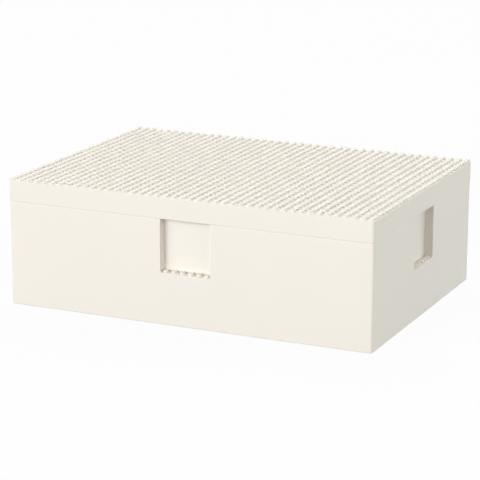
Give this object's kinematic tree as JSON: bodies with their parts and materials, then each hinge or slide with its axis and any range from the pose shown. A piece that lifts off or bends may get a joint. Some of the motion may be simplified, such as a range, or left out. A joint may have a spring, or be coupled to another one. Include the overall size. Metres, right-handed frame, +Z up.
{
  "type": "brick shaped storage box",
  "caption": "Free-standing lidded storage box in the shape of a toy building brick, with a studded lift-off lid and a recessed grip pocket in each side.",
  "frame": {"origin": "on the ground under the middle of the box", "axes": "+X along the long side, to the right as one faces the front; the front face looks along -Y; +Z up through the lid"},
  "size_m": [0.35, 0.254, 0.117],
  "materials": {
    "box_plastic": "satin moulded off-white ABS",
    "lid_plastic": "satin moulded off-white ABS"
  },
  "bodies": {
    "box": {"box_tub": "box_plastic", "grip_pocket_front": "box_plastic", "grip_pocket_rear": "box_plastic", "grip_pocket_left": "box_plastic", "grip_pocket_right": "box_plastic"},
    "lid": {"lid_studded_top": "lid_plastic", "lid_skirt": "lid_plastic", "lid_ribs": "lid_plastic"}
  },
  "joints": [
    {"name": "lid_lift", "type": "slide", "parent": "box", "child": "lid", "axis": [0, 0, 1], "range_m": [0, 0.12]}
  ]
}
